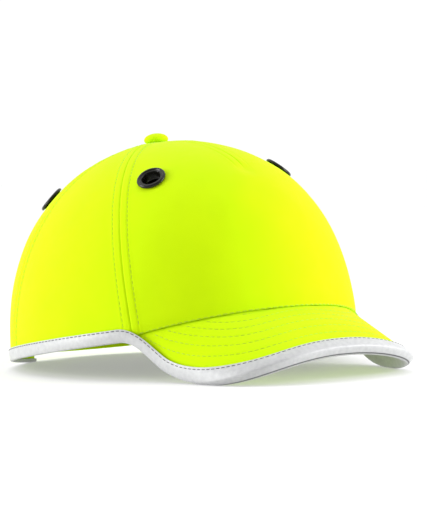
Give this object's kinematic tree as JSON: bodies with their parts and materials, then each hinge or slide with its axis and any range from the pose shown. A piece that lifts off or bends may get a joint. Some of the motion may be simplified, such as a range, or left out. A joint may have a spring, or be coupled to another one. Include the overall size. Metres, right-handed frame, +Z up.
{
  "type": "bump cap",
  "caption": "Peaked fabric bump cap with vent eyelets, reflective edge binding, a rear hook-and-loop strap and a lift-out padded shell.",
  "frame": {"origin": "middle of the cap's footprint, on the surface that it stands on", "axes": "+Z up as the cap stands, -Y towards the front of the peak, +X to the wearer's left"},
  "size_m": [0.1858, 0.2524, 0.1288],
  "materials": {
    "yellow_fabric": "matte",
    "reflective_tape": "satin",
    "eyelet_plastic": "gloss",
    "shell_plastic": "satin",
    "foam": "matte",
    "buckram": "matte",
    "peak_board": "satin",
    "hook_and_loop": "matte"
  },
  "bodies": {
    "cap": {"front_panel": "yellow_fabric", "right_side_panel": "yellow_fabric", "left_side_panel": "yellow_fabric", "right_back_panel": "yellow_fabric", "left_back_panel": "yellow_fabric", "front_right_seam_tape": "yellow_fabric", "front_left_seam_tape": "yellow_fabric", "rear_right_seam_tape": "yellow_fabric", "rear_left_seam_tape": "yellow_fabric", "centre_back_seam_tape": "yellow_fabric", "top_button": "yellow_fabric", "peak_top_cover": "yellow_fabric", "peak_under_cover": "yellow_fabric", "arch_binding": "yellow_fabric", "sweatband": "yellow_fabric", "hook_strap_sewn_end": "yellow_fabric", "loop_strap": "yellow_fabric", "front_buckram": "buckram", "button_washer": "eyelet_plastic", "front_right_eyelet": "eyelet_plastic", "front_right_eyelet_washer": "eyelet_plastic", "front_left_eyelet": "eyelet_plastic", "front_left_eyelet_washer": "eyelet_plastic", "rear_right_eyelet": "eyelet_plastic", "rear_right_eyelet_washer": "eyelet_plastic", "rear_left_eyelet": "eyelet_plastic", "rear_left_eyelet_washer": "eyelet_plastic", "peak_board": "peak_board", "peak_binding": "reflective_tape", "right_crown_binding": "reflective_tape", "left_crown_binding": "reflective_tape", "loop_tape": "hook_and_loop"},
    "insert": {"shell_insert": "shell_plastic", "front_pad": "foam", "right_side_pad": "foam", "left_side_pad": "foam", "rear_pad": "foam", "crown_pad": "foam"},
    "hook_strap": {"hook_strap": "yellow_fabric", "hook_tape": "hook_and_loop"}
  },
  "joints": [
    {"name": "insert_pull_out", "type": "slide", "parent": "cap", "child": "insert", "axis": [0, -0.1393, -0.9903], "range_m": [0, 0.15]},
    {"name": "strap_peel", "type": "hinge", "parent": "cap", "child": "hook_strap", "pos_m": [-0.0302, 0.1156, 0.0141], "axis": [0.0137, 0.1021, 0.9947], "range_deg": [0, 80]}
  ]
}
